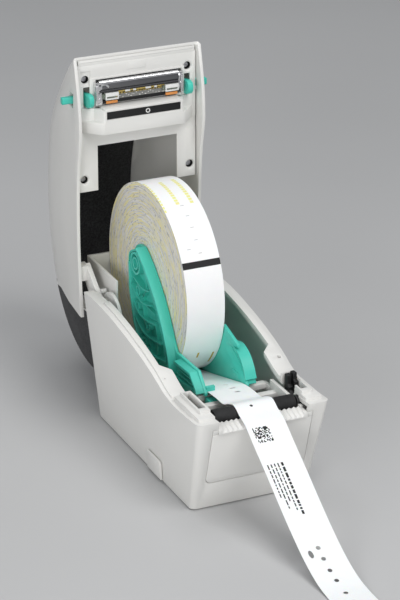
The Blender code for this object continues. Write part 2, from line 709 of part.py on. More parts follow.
def build_media():
    name_piece(ring(ROLL_Y, ROLL_Z, ROLL_R, CORE_OUT + GAP, -MEDIA_HALF, MEDIA_HALF, 64),
               "media_roll", "paper", (0, ROLL_Y, ROLL_Z))
    name_piece(ring(ROLL_Y, ROLL_Z, CORE_OUT, CORE_IN, -MEDIA_HALF, MEDIA_HALF, 32),
               "roll_core", "card", (0, ROLL_Y, ROLL_Z))
    name_piece(make_holder(-1), "roll_holder_left", "teal", (0, RAIL_Y, RAIL_Z))
    name_piece(make_holder(1), "roll_holder_right", "teal", (0, RAIL_Y, RAIL_Z))
    pinion = prism(gear_outline(0, CENTRE_Y, CENTRE_TEETH, CENTRE_MODULE, 0), "z", CENTRE_Z0, CENTRE_Z1)
    cut(pinion, rod("z", 0, CENTRE_Y, 1.6 + GAP, 0, 50, 12))
    name_piece(pinion, "centring_pinion", "white", (0, CENTRE_Y, CENTRE_Z0))
    sensor = box(-14, -4, -45.4, -36.6, 48.6, 55.6)
    cut(sensor, rod("x", -41, 50.9, 1.2 + GAP, -60, 60, 12))
    name_piece(sensor, "media_sensor", "teal", (-9, -41, 50.9))
    rocker = prism([(72, 23.4), (76.4, 23.4), (75.6, 28), (77.6, 32.6), (72, 32.6)], "x", -29.6, -18.4)
    name_piece(rocker, "power_switch", "black", (-24, 72.4, 28))


def build_cover():
    hinge = (0, HINGE_Y, HINGE_Z)
    name_piece(make_cover_shell(), "cover_shell", "housing", hinge)
    name_piece(make_cover_window(), "cover_window", "dark", hinge)
    name_piece(make_inner_panel(), "inner_panel", "housing", hinge)
    for number, (x, z) in enumerate(screw_places(), 1):
        screw = rod("y", x, z, 2.2, PANEL_Y + 1.7, PANEL_Y + 6, 12)
        name_piece(screw, f"panel_screw_{number}", "steel", hinge)
    name_piece(make_head_cover(), "head_cover", "housing", hinge)
    strip = join(box(-25, 25, 85.5, 86.2, 197, 201.6), rod("y", 2.2, 199.3, 1.4, 85.3, 86, 16))
    name_piece(strip, "sensor_strip", "black", hinge)
    name_piece(rod("y", 0, 215, 2.4, 101.6, 108, 12), "head_spring", "steel", hinge)
    name_piece(button_rod(2.0, -1.5, 0.6, 14), "status_light", "amber", hinge)
    name_piece(button_rod(6.0, -2.5, 1.1, 0), "feed_button", "dark", (0, BUTTON_Y, BUTTON_Z))


def build_head():
    pivot = (0, 99.7, 212)
    name_piece(make_head_bracket(), "head_bracket", "steel", pivot)
    name_piece(box(-28, 28, 94.6, 98.8, 212.2, 218.8), "head_heat_sink", "steel", pivot)
    name_piece(box(-27, 27, 92.6, 94.3, 213, 218.6), "head_ceramic", "ceramic", pivot)
    board = box(-27, 27, 95, 96.2, 206.8, 211.8)
    for side in (-1, 1):
        x0, x1 = span(side, 16, 26)
        join(board, box(x0, x1, 92.4, 95.4, 208.4, 211.4))
    name_piece(board, "head_board", "board", pivot)


def build_latch():
    pivot = (0, LATCH_Y, LATCH_Z)
    name_piece(rod("x", LATCH_Y, LATCH_Z, 2.0, -36.4, 36.4, 16), "latch_bar", "steel", pivot)
    for side, word in ((-1, "left"), (1, "right")):
        name_piece(make_latch_lever(side), "latch_lever_" + word, "teal", pivot)


def main():
    for obj in list(bpy.data.objects):
        bpy.data.objects.remove(obj, do_unlink=True)
    build_base()
    build_drive()
    build_media()
    build_cover()
    build_head()
    build_latch()


main()
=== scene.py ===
import json
import math
import random

import bmesh
import bpy
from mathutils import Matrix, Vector

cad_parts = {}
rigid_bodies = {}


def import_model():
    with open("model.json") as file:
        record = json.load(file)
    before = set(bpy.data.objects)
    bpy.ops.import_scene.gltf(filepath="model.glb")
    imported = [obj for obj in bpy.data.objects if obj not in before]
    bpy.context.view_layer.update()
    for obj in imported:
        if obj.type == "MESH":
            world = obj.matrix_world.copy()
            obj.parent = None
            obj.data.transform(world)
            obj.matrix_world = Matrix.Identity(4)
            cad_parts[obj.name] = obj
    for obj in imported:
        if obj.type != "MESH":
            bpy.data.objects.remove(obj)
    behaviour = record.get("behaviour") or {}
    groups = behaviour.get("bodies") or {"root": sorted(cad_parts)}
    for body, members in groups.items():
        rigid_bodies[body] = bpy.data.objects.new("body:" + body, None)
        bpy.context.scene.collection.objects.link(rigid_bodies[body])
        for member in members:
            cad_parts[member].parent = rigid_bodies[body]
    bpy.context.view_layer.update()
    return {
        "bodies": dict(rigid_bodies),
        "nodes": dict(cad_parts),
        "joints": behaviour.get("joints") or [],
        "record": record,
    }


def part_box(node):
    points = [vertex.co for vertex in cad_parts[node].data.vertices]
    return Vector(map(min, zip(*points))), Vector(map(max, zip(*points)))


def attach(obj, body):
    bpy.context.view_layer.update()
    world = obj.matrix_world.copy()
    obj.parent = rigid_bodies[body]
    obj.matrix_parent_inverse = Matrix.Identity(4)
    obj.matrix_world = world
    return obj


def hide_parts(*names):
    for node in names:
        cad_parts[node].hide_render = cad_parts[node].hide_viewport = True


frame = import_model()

MM = 0.001
NODES = frame["nodes"]
SLOTS = {part["node"]: part["material_slot"] for part in frame["record"]["subparts"]}
BODY_OF = {node: body for body, nodes in frame["record"]["behaviour"]["bodies"].items()
           for node in nodes}
JOINTS = {joint["name"]: joint for joint in frame["joints"]}


def in_mm(vector):
    return [value / MM for value in vector]


# driving places, read from the frame, in millimetres
ROLL_Y, ROLL_Z = in_mm(JOINTS["roll_spin"]["pos_m"])[1:]
ROLL_LOW, ROLL_HIGH = [in_mm(c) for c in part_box("media_roll")]
ROLL_R = (ROLL_HIGH[2] - ROLL_LOW[2]) / 2
MEDIA_HALF = ROLL_HIGH[0]
PLATEN_Y, PLATEN_Z = in_mm(JOINTS["platen_spin"]["pos_m"])[1:]
PANEL_FRONT = in_mm(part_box("inner_panel")[0])[1]

# places of the details, in millimetres
SCREWS = [(-35, 221), (35, 221), (-36.6, 154.4), (36.6, 154.4)]
LENS_X, LENS_Z = 2.6, 199.3
WOUND_DEPTH, WOUND_LAYERS, ROLL_STEPS = 47.0, 70, 128
STRIP_THICKNESS = 0.24
PRINT_RISE = 0.14
MARK_RISE = 0.03
HOLDER_FACE = 14.9
CODE_CELLS, CODE_CELL, CODE_X, CODE_Y = 15, 0.7, -9.6, -92.9
PRINT_Y = -115
PLATE_Z = (63.6, 65.0)

# camera, in metres and degrees
CAMERA_PLACE = (-0.5959, -1.3025, 0.7221)
CAMERA_AZIMUTH, CAMERA_ELEVATION = -24.57, 23.37
CAMERA_LENS = 151.9
FLOOR_HALF = 6

# soft lights: name, place, aim, width in metres, power in watts
LIGHTS = [("key", (0.35, -1.0, 1.45), (0, 0, 0.08), 0.9, 12.5),
          ("fill", (-0.5, -1.7, 0.7), (0, 0, 0.12), 1.2, 4),
          ("left", (-1.6, -0.8, 0.7), (0, 0, 0.1), 1.0, 4.5),
          ("inside", (-1.05, -1.0, 0.45), (0.02, 0.12, 0.14), 0.5, 5),
          ("top", (0.0, 0.3, 1.7), (0, 0, 0.05), 1.0, 7)]
SKY_TINT, SKY_STRENGTH = (0.93, 0.96, 1, 1), 0.32

# CAD nodes drawn with softened edges, and the width of the edge in millimetres
SOFT_EDGES = [("front_panel", 0.35), ("exit_ramp", 0.15), ("media_deck", 0.3),
              ("media_tub", 0.3), ("cover_shell", 0.6), ("cover_window", 0.3),
              ("head_cover", 0.5), ("roll_holder_left", 0.3), ("roll_holder_right", 0.3),
              ("latch_lever_left", 0.4), ("latch_lever_right", 0.4), ("side_clip_left", 0.3),
              ("side_clip_right", 0.3), ("media_sensor", 0.4), ("feed_button", 0.4),
              ("latch_catch_right", 0.3), ("latch_catch_left", 0.3),
              ("power_switch", 0.4), ("status_light", 0.3), ("platen_roller", 0.2),
              ("foot_front_left", 0.3), ("foot_front_right", 0.3), ("foot_rear_left", 0.3),
              ("foot_rear_right", 0.3)]


# ---------------------------------------------------------------- materials

class Nodes:
    """Short names for the shader nodes of one material."""

    def __init__(self, name):
        self.mat = bpy.data.materials.new(name)
        self.mat.use_nodes = True
        self.tree = self.mat.node_tree
        self.shader = self.tree.nodes["Principled BSDF"]
        self.place = self.add("ShaderNodeTexCoord").outputs["Object"]

    def add(self, kind, **values):
        node = self.tree.nodes.new(kind)
        for key, value in values.items():
            setattr(node, key, value)
        return node

    def link(self, output, socket):
        self.tree.links.new(output, socket)

    def math(self, operation, a, b=0.0):
        node = self.add("ShaderNodeMath", operation=operation)
        for socket, value in zip(node.inputs, (a, b)):
            if isinstance(value, (int, float)):
                socket.default_value = value
            else:
                self.link(value, socket)
        return node.outputs[0]

    def noise(self, scale, detail=3.0, stretch=(1, 1, 1)):
        mapping = self.add("ShaderNodeMapping")
        mapping.inputs["Scale"].default_value = stretch
        self.link(self.place, mapping.inputs["Vector"])
        node = self.add("ShaderNodeTexNoise")
        node.inputs["Scale"].default_value = scale
        node.inputs["Detail"].default_value = detail
        self.link(mapping.outputs[0], node.inputs["Vector"])
        return node.outputs["Fac"]

    def ramp(self, factor, stops):
        node = self.add("ShaderNodeValToRGB")
        ramp = node.color_ramp
        while len(ramp.elements) < len(stops):
            ramp.elements.new(0.5)
        for element, (place, colour) in zip(ramp.elements, stops):
            element.position = place
            element.color = (*colour, 1)
        self.link(factor, node.inputs[0])
        return node.outputs[0]

    def bump(self, height, strength, distance):
        node = self.add("ShaderNodeBump")
        node.inputs["Strength"].default_value = strength
        node.inputs["Distance"].default_value = distance
        self.link(height, node.inputs["Height"])
        self.link(node.outputs[0], self.shader.inputs["Normal"])

    def colour(self, output):
        self.link(output, self.shader.inputs["Base Color"])

    def rough(self, factor, low, high):
        node = self.add("ShaderNodeMapRange")
        node.inputs["To Min"].default_value = low
        node.inputs["To Max"].default_value = high
        self.link(factor, node.inputs["Value"])
        self.link(node.outputs[0], self.shader.inputs["Roughness"])

    def set(self, **values):
        for key, value in values.items():
            self.shader.inputs[key.replace("_", " ")].default_value = value


def shade(colour, factor):
    return tuple(channel * factor for channel in colour)


def moulded(name, colour, rough=0.42, grain=0.35, spread=0.03, scatter=0.0):
    """Moulded plastic: fine spark-eroded grain, faint colour drift, uneven gloss."""
    n = Nodes(name)
    drift = n.noise(18, 4)
    n.colour(n.ramp(drift, [(0.3, shade(colour, 1 - spread)), (0.7, shade(colour, 1 + spread))]))
    n.rough(n.noise(60, 2), rough - 0.06, rough + 0.08)
    n.bump(n.noise(2600, 2), grain, 0.00006)
    n.set(IOR=1.46)
    if scatter:
        n.set(Subsurface_Weight=scatter, Subsurface_Scale=0.002, Subsurface_Radius=(1, 0.9, 0.8))
    return n.mat


def metal(name, colour, rough=0.28, stretch=(1, 1, 1), grain=0.3):
    """Metal with drawn lines along one axis and a little tarnish."""
    n = Nodes(name)
    lines = n.noise(900, 3, stretch)
    n.colour(n.ramp(n.noise(70, 4), [(0.25, shade(colour, 0.82)), (0.75, colour)]))
    n.rough(lines, rough - 0.1, rough + 0.14)
    n.bump(lines, grain, 0.00004)
    n.set(Metallic=1.0)
    return n.mat


def rubber(name, colour):
    n = Nodes(name)
    n.colour(n.ramp(n.noise(240, 4), [(0.3, shade(colour, 0.7)), (0.75, shade(colour, 1.6))]))
    n.rough(n.noise(400, 2), 0.55, 0.8)
    n.bump(n.noise(1800, 3), 0.5, 0.00008)
    return n.mat


def paper(name, colour):
    n = Nodes(name)
    n.colour(n.ramp(n.noise(90, 5), [(0.3, shade(colour, 0.975)), (0.7, colour)]))
    n.rough(n.noise(500, 2), 0.45, 0.62)
    n.bump(n.noise(1500, 4), 0.18, 0.00005)
    n.set(Subsurface_Weight=0.1, Subsurface_Scale=0.0008)
    return n.mat


def wound_side():
    """End of the roll: liner layers in grey and khaki rings, broken along the turn."""
    n = Nodes("wound_layers")
    split = n.add("ShaderNodeSeparateXYZ")
    n.link(n.place, split.inputs[0])
    dy = n.math("SUBTRACT", split.outputs[1], ROLL_Y * MM)
    dz = n.math("SUBTRACT", split.outputs[2], ROLL_Z * MM)
    radius = n.math("SQRT", n.math("ADD", n.math("MULTIPLY", dy, dy), n.math("MULTIPLY", dz, dz)))
    turn = n.math("ARCTAN2", dz, dy)

    def ringed(ring_scale, turn_scale, detail):
        join = n.add("ShaderNodeCombineXYZ")
        n.link(n.math("MULTIPLY", radius, ring_scale), join.inputs[0])
        n.link(n.math("MULTIPLY", n.math("COSINE", turn), turn_scale), join.inputs[1])
        n.link(n.math("MULTIPLY", n.math("SINE", turn), turn_scale), join.inputs[2])
        node = n.add("ShaderNodeTexNoise")
        node.inputs["Scale"].default_value = 1.0
        node.inputs["Detail"].default_value = detail
        n.link(join.outputs[0], node.inputs["Vector"])
        return node.outputs["Fac"]

    layers = ringed(1900, 2.4, 3)
    khaki = n.ramp(ringed(1300, 3.4, 3), [(0.5, (0, 0, 0)), (0.58, (1, 1, 1))])
    marks = n.ramp(ringed(1300, 12, 2), [(0.6, (0, 0, 0)), (0.68, (1, 1, 1))])
    greys = n.ramp(layers, [(0.3, (0.56, 0.55, 0.54)), (0.5, (0.77, 0.755, 0.73)),
                            (0.7, (0.9, 0.89, 0.87))])
    yellowed = n.add("ShaderNodeMixRGB")
    yellowed.inputs["Color2"].default_value = (0.88, 0.8, 0.4, 1)
    n.link(khaki, yellowed.inputs["Fac"])
    n.link(greys, yellowed.inputs["Color1"])
    spotted = n.add("ShaderNodeMixRGB")
    spotted.inputs["Color2"].default_value = (0.3, 0.3, 0.34, 1)
    n.link(n.math("MULTIPLY", marks, 0.75), spotted.inputs["Fac"])
    n.link(yellowed.outputs[0], spotted.inputs["Color1"])
    n.colour(spotted.outputs[0])
    n.rough(layers, 0.6, 0.8)
    n.bump(layers, 0.6, 0.00015)
    return n.mat


def smoked():
    """Smoked panel: near black, satin inside with a fine stipple."""
    n = Nodes("smoked_panel")
    n.colour(n.ramp(n.noise(900, 2), [(0.35, (0.018, 0.018, 0.019)),
                                      (0.75, (0.055, 0.055, 0.058))]))
    n.rough(n.noise(120, 3), 0.42, 0.55)
    n.bump(n.noise(1300, 2), 0.35, 0.00006)
    n.set(IOR=1.4)
    return n.mat


def board(name, colour):
    n = Nodes(name)
    cells = n.add("ShaderNodeTexVoronoi")
    cells.inputs["Scale"].default_value = 520
    n.link(n.place, cells.inputs["Vector"])
    n.colour(n.ramp(cells.outputs["Distance"], [(0.12, shade(colour, 2.2)), (0.3, colour)]))
    n.rough(n.noise(300, 2), 0.3, 0.5)
    n.bump(cells.outputs["Distance"], 0.3, 0.0001)
    return n.mat


MATERIALS = {
    "housing_plastic": moulded("housing_plastic", (0.75, 0.742, 0.715), 0.44, 0.3, 0.018, 0.05),
    "teal_plastic": moulded("teal_plastic", (0.062, 0.56, 0.45), 0.38, 0.2, 0.06, 0.08),
    "black_plastic": moulded("black_plastic", (0.006, 0.006, 0.0065), 0.45, 0.4, 0.2),
    "gear_plastic": moulded("gear_plastic", (0.72, 0.71, 0.68), 0.35, 0.15, 0.02, 0.1),
    "lens_plastic": moulded("lens_plastic", (0.12, 0.5, 0.2), 0.2, 0.05, 0.1),
    "smoked_plastic": smoked(),
    "foot_rubber": rubber("foot_rubber", (0.02, 0.02, 0.02)),
    "platen_rubber": rubber("platen_rubber", (0.006, 0.006, 0.0065)),
    "steel": metal("steel", (0.55, 0.55, 0.57), 0.3, (0.05, 1, 1)),
    "bright_steel": metal("bright_steel", (0.78, 0.78, 0.79), 0.22, (0.05, 1, 1), 0.15),
    "aluminium_bar": metal("aluminium_bar", (0.2, 0.2, 0.21), 0.4, (0.04, 1, 1)),
    "brass": metal("brass", (0.72, 0.53, 0.23), 0.3, (1, 0.1, 1)),
    "head_ceramic_glaze": moulded("head_glaze", (0.02, 0.02, 0.022), 0.16, 0.05, 0.3),
    "circuit_board": board("circuit_board", (0.13, 0.15, 0.12)),
    "label_paper": paper("label_paper", (0.93, 0.93, 0.93)),
    "core_board": paper("core_board", (0.42, 0.3, 0.18)),
}
GREY_BOARD = board("grey_board", (0.2, 0.2, 0.19))
GOLD = metal("gold_line", (0.83, 0.62, 0.2), 0.25)
COPPER = moulded("copper_film", (0.72, 0.29, 0.08), 0.3, 0.1, 0.1)
INK = moulded("print_ink", (0.007, 0.007, 0.008), 0.6, 0.1, 0.2)
# Grey for the liner's punched holes on the roll's tread: painted shade in the holes.
PUNCH_HOLE_SHADE = paper("painted_punch_shade", (0.55, 0.55, 0.56))
YELLOW_INK = paper("yellow_ink", (0.86, 0.82, 0.3))
AMBER_INK = paper("amber_ink", (0.62, 0.36, 0.05))
WHITE_PLASTIC = moulded("white_connector", (0.74, 0.74, 0.72), 0.35, 0.1)
# Near black for the insides of holes: painted shade, standing in for the shade that falls in
# them.
HOLE_SHADE_PAINT = moulded("painted_hole_shade", (0.006, 0.006, 0.006), 0.7, 0.1)
WOUND = wound_side()


# ---------------------------------------------------------------- mesh helpers

def finish_mesh(bm, sharp=35):
    bmesh.ops.recalc_face_normals(bm, faces=bm.faces)
    bmesh.ops.scale(bm, vec=(MM, MM, MM), verts=bm.verts)
    mesh = bpy.data.meshes.new("shape")
    bm.to_mesh(mesh)
    bm.free()
    obj = bpy.data.objects.new("shape", mesh)
    bpy.context.scene.collection.objects.link(obj)
    smooth(obj, sharp)
    return obj


def smooth(obj, sharp=35):
    obj.data.shade_smooth()
    obj.data.set_sharp_from_angle(angle=math.radians(sharp))


def loft(loops, sharp=35):
    """Closed body through a row of loops with equal point counts."""
    bm = bmesh.new()
    rows = [[bm.verts.new(p) for p in loop] for loop in loops]
    count = len(rows[0])
    for low, high in zip(rows, rows[1:]):
        for i in range(count):
            j = (i + 1) % count
            bm.faces.new((low[i], low[j], high[j], high[i]))
    bm.faces.new(rows[0][::-1])
    bm.faces.new(rows[-1])
    return finish_mesh(bm, sharp)


def prism(outline, axis, low, high):
    def place(point, depth):
        values = list(point)
        values.insert("xyz".index(axis), depth)
        return tuple(values)
    return loft([[place(p, low) for p in outline], [place(p, high) for p in outline]])


def box(x0, x1, y0, y1, z0, z1):
    return prism([(x0, y0), (x1, y0), (x1, y1), (x0, y1)], "z", z0, z1)


def arc(a, b, radius, start, end, steps):
    turns = [math.radians(start + (end - start) * i / steps) for i in range(steps + 1)]
    return [(a + radius * math.cos(t), b + radius * math.sin(t)) for t in turns]


def rod(axis, a, b, radius, low, high, sides=32):
    return prism(arc(a, b, radius, 0, 360, sides)[:-1], axis, low, high)


def span(side, near, far):
    """Two X values in rising order, on the left (-1) or the right (1)."""
    return (side * near, side * far) if side > 0 else (side * far, side * near)


def smooth_path(points, steps):
    ends = [points[0]] + list(points) + [points[-1]]
    out = []
    for i in range(1, len(ends) - 2):
        for k in range(steps):
            t = k / steps
            out.append(tuple(
                0.5 * (2 * b + (c - a) * t + (2 * a - 5 * b + 4 * c - d) * t * t
                       + (3 * b - a - 3 * c + d) * t ** 3)
                for a, b, c, d in zip(ends[i - 1], ends[i], ends[i + 1], ends[i + 2])))
    return out + [tuple(points[-1])]


def offset_path(path, distance):
    out = []
    for i, (y, z) in enumerate(path):
        before, after = path[max(i - 1, 0)], path[min(i + 1, len(path) - 1)]
        dy, dz = after[0] - before[0], after[1] - before[1]
        size = math.hypot(dy, dz)
        out.append((y - dz / size * distance, z + dy / size * distance))
    return out


def sheet(path, thickness, low, high, sharp=35):
    upper, lower = offset_path(path, thickness / 2), offset_path(path, -thickness / 2)
    return loft([[(low, *a), (high, *a), (high, *b), (low, *b)] for a, b in zip(upper, lower)],
                sharp=sharp)


def apply_modifiers(obj):
    bpy.context.view_layer.update()
    graph = bpy.context.evaluated_depsgraph_get()
    mesh = bpy.data.meshes.new_from_object(obj.evaluated_get(graph))
    obj.modifiers.clear()
    obj.data = mesh
    return obj


def boolean(obj, operation, tools):
    for tool in tools:
        mod = obj.modifiers.new("cut", "BOOLEAN")
        mod.operation = operation
        mod.solver = "EXACT"
        mod.object = tool
    apply_modifiers(obj)
    for tool in tools:
        bpy.data.objects.remove(tool, do_unlink=True)
    smooth(obj)
    return obj


def cut(obj, *tools):
    return boolean(obj, "DIFFERENCE", tools)


def hoop(axis, a, b, outer, inner, low, high, sides=32):
    """Short tube along an axis."""
    return cut(rod(axis, a, b, outer, low, high, sides),
               rod(axis, a, b, inner, low - 1, high + 1, sides))


def weld(obj, *tools):
    return boolean(obj, "UNION", tools)


def gather(objects):
    """One object from several, each a closed body of its own."""
    bm = bmesh.new()
    for obj in objects:
        bm.from_mesh(obj.data)
        bpy.data.objects.remove(obj, do_unlink=True)
    mesh = bpy.data.meshes.new("shape")
    bm.to_mesh(mesh)
    bm.free()
    obj = bpy.data.objects.new("shape", mesh)
    bpy.context.scene.collection.objects.link(obj)
    smooth(obj)
    return obj


def bevelled(obj, width):
    """Round the sharp edges of a body by a width in millimetres."""
    mod = obj.modifiers.new("edges", "BEVEL")
    mod.width = width * MM
    mod.segments = 2
    mod.limit_method = "ANGLE"
    mod.angle_limit = math.radians(38)
    mod.harden_normals = False
    apply_modifiers(obj)
    smooth(obj, 50)
    return obj


def copy_node(node):
    """The CAD node's mesh with its flat faces merged, as a new object."""
    obj = bpy.data.objects.new("shape", NODES[node].data.copy())
    bpy.context.scene.collection.objects.link(obj)
    bm = bmesh.new()
    bm.from_mesh(obj.data)
    bmesh.ops.remove_doubles(bm, verts=bm.verts, dist=0.00001)
    bmesh.ops.dissolve_limit(bm, angle_limit=math.radians(1.5), verts=bm.verts, edges=bm.edges)
    bm.to_mesh(obj.data)
    bm.free()
    return obj


def piece(obj, name, body, slot, mat=None, stands_for=()):
    obj.name = name
    obj.data.name = name
    obj.data.materials.clear()
    obj.data.materials.append(mat or MATERIALS[slot])
    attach(obj, body)
    if stands_for:
        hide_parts(*stands_for)
    return obj


def refine(node, width):
    """The same shape with softened edges."""
    obj = bevelled(copy_node(node), width)
    piece(obj, node + "_skin", BODY_OF[node], SLOTS[node], stands_for=[node])


# ---------------------------------------------------------------- camera, floor and light

def make_stage():
    azimuth, elevation = math.radians(CAMERA_AZIMUTH), math.radians(CAMERA_ELEVATION)
    camera = bpy.data.objects.new("camera", bpy.data.cameras.new("camera"))
    bpy.context.scene.collection.objects.link(camera)
    camera.location = CAMERA_PLACE
    back = Vector((math.sin(azimuth) * math.cos(elevation),
                   -math.cos(azimuth) * math.cos(elevation), math.sin(elevation)))
    camera.rotation_euler = (-back).to_track_quat("-Z", "Y").to_euler()
    camera.data.lens = CAMERA_LENS
    camera.data.sensor_width = 36
    camera.data.clip_start = 0.05
    bpy.context.scene.camera = camera

    bm = bmesh.new()
    corners = [(-FLOOR_HALF, -FLOOR_HALF, 0), (FLOOR_HALF, -FLOOR_HALF, 0),
               (FLOOR_HALF, FLOOR_HALF, 0), (-FLOOR_HALF, FLOOR_HALF, 0)]
    bm.faces.new([bm.verts.new(corner) for corner in corners])
    mesh = bpy.data.meshes.new("floor")
    bm.to_mesh(mesh)
    bm.free()
    floor = bpy.data.objects.new("floor", mesh)
    bpy.context.scene.collection.objects.link(floor)
    n = Nodes("floor")
    n.colour(n.ramp(n.noise(3, 2), [(0.3, (0.50, 0.50, 0.50)), (0.7, (0.53, 0.53, 0.53))]))
    n.rough(n.noise(40, 2), 0.6, 0.7)
    mesh.materials.append(n.mat)

    def area(name, place, target, size, power):
        light = bpy.data.objects.new(name, bpy.data.lights.new(name, "AREA"))
        bpy.context.scene.collection.objects.link(light)
        light.location = place
        aim = Vector(target) - Vector(place)
        light.rotation_euler = aim.to_track_quat("-Z", "Y").to_euler()
        light.data.size = size
        light.data.energy = power

    for light in LIGHTS:
        area(*light)
    world = bpy.data.worlds.new("world")
    bpy.context.scene.world = world
    world.use_nodes = True
    world.node_tree.nodes["Background"].inputs[0].default_value = SKY_TINT
    world.node_tree.nodes["Background"].inputs[1].default_value = SKY_STRENGTH
    bpy.context.scene.view_settings.view_transform = "Standard"


# ---------------------------------------------------------------- media roll and strip

def make_roll():
    """Turned ring whose ends show single layers, standing slightly in and out."""
    rng = random.Random(7)
    layers, steps = WOUND_LAYERS, ROLL_STEPS
    profile = []
    for side in (-1, 1):
        rows = []
        for i in range(layers + 1):
            radius = ROLL_R - WOUND_DEPTH + WOUND_DEPTH * i / layers
            inset = 0.0 if i in (0, layers) else rng.uniform(0.0, 0.22)
            rows.append((side * (MEDIA_HALF - inset), radius))
        profile += rows if side < 0 else rows[::-1]
    bm = bmesh.new()
    rings = []
    for x, radius in profile:
        circle = arc(ROLL_Y, ROLL_Z, radius, 0, 360, steps)[:-1]
        rings.append([bm.verts.new((x, y, z)) for y, z in circle])
    for k in range(len(rings)):
        low, high = rings[k], rings[(k + 1) % len(rings)]
        tread = k == layers
        for i in range(steps):
            j = (i + 1) % steps
            face = bm.faces.new((low[i], low[j], high[j], high[i]))
            face.material_index = 0 if tread else 1
    roll = finish_mesh(bm, 60)
    sides = [face.material_index for face in roll.data.polygons]
    piece(roll, "label_roll", "roll", "label_paper", stands_for=["media_roll"])
    roll.data.materials.append(WOUND)
    roll.data.polygons.foreach_set("material_index", sides)


def tread_patch(start, end, x0, x1, lift=MARK_RISE):
    """Thin curved patch on the roll's tread, between two angles."""
    steps = max(2, int(abs(end - start) / 3))
    loops = []
    for i in range(steps + 1):
        t = math.radians(start + (end - start) * i / steps)
        loop = []
        under, over = ROLL_R - 0.2, ROLL_R + lift
        for x, radius in ((x0, under), (x1, under), (x1, over), (x0, over)):
            loop.append((x, ROLL_Y + radius * math.cos(t), ROLL_Z + radius * math.sin(t)))
        loops.append(loop)
    return loft(loops)


def make_roll_marks():
    bar = tread_patch(150.6, 154.5, -MEDIA_HALF + 0.05, MEDIA_HALF - 0.05, 2 * MARK_RISE)
    piece(bar, "roll_black_bar", "roll", "label_paper", INK)
    dashes = []
    for x, width, start, end, step in ((-3.0, 2.4, 86, 112, 2.5), (6.4, 2.4, 84, 113, 2.5),
                                       (-12.6, 1.3, 84, 116, 2.9)):
        turn = start
        while turn < end:
            dashes.append(tread_patch(turn, turn + 1.9, x, x + width))
            turn += step
    piece(gather(dashes), "roll_yellow_dashes", "roll", "label_paper", YELLOW_INK)
    # Grey patches where the punched holes come round on the roll's tread: painted shade in the
    # holes, not print.
    punches = []
    for turn, x in ((114, 0.3), (122, 0.5), (130, 0.5), (138, 0.3), (143, -6), (146, 0.8)):
        punches.append(tread_patch(turn, turn + 0.5, x - 1.2, x + 1.2))
    piece(gather(punches), "roll_punch_hole_shade", "roll", "label_paper", PUNCH_HOLE_SHADE)
    marks = [tread_patch(211, 216, -1.6, -0.4), tread_patch(213, 225, 9.0, 10.2)]
    piece(gather(marks), "roll_amber_marks", "roll", "label_paper", AMBER_INK)


STRIP_ROUTE = [(37.2, 39.2), (20, 43.8), (0, 49.2), (-20, 54.8), (-36, 59.0), (-50, 60.5),
               (-60, 60.9), (-67, 64.0), (-73.5, 66.3), (-78, 65.7), (-83, 63.2), (-92, 59.9),
               (-104, 51.8), (-121, 40.8), (-138, 29.3), (-155, 18.4), (-172, 9.0), (-188, 3.0),
               (-204, 0.7), (-224, 0.5), (-236, 0.5)]


class Strip:
    """Places on the strip by distance along it, measured towards the free end."""

    def __init__(self):
        self.path = smooth_path(STRIP_ROUTE, 12)
        self.along = [0.0]
        for a, b in zip(self.path, self.path[1:]):
            self.along.append(self.along[-1] + math.dist(a, b))

    def at_y(self, y):
        for s, point in zip(self.along, self.path):
            if point[0] <= y:
                return s
        return self.along[-1]

    def point(self, s, lift=0.0):
        k = 1
        while k < len(self.along) - 1 and self.along[k] < s:
            k += 1
        a, b = self.path[k - 1], self.path[k]
        t = (s - self.along[k - 1]) / max(self.along[k] - self.along[k - 1], 1e-9)
        dy, dz = b[0] - a[0], b[1] - a[1]
        size = math.hypot(dy, dz)
        return (a[0] + dy * t + dz / size * lift, a[1] + dz * t - dy / size * lift)

    def patch(self, s0, s1, x0, x1):
        """Thin block on the strip's upper face."""
        steps = max(1, int((s1 - s0) / 2))
        loops = []
        for i in range(steps + 1):
            s = s0 + (s1 - s0) * i / steps
            under, over = self.point(s), self.point(s, PRINT_RISE)
            loops.append([(x0, *under), (x1, *under), (x1, *over), (x0, *over)])
        return loft(loops)

    def round_hole(self, s, x, half_x, half_s):
        loops = []
        for lift in (-1, 1):
            loop = []
            for a, b in arc(0, 0, 1, 0, 360, 20)[:-1]:
                loop.append((x + a * half_x, *self.point(s + b * half_s, lift)))
            loops.append(loop)
        return loft(loops)


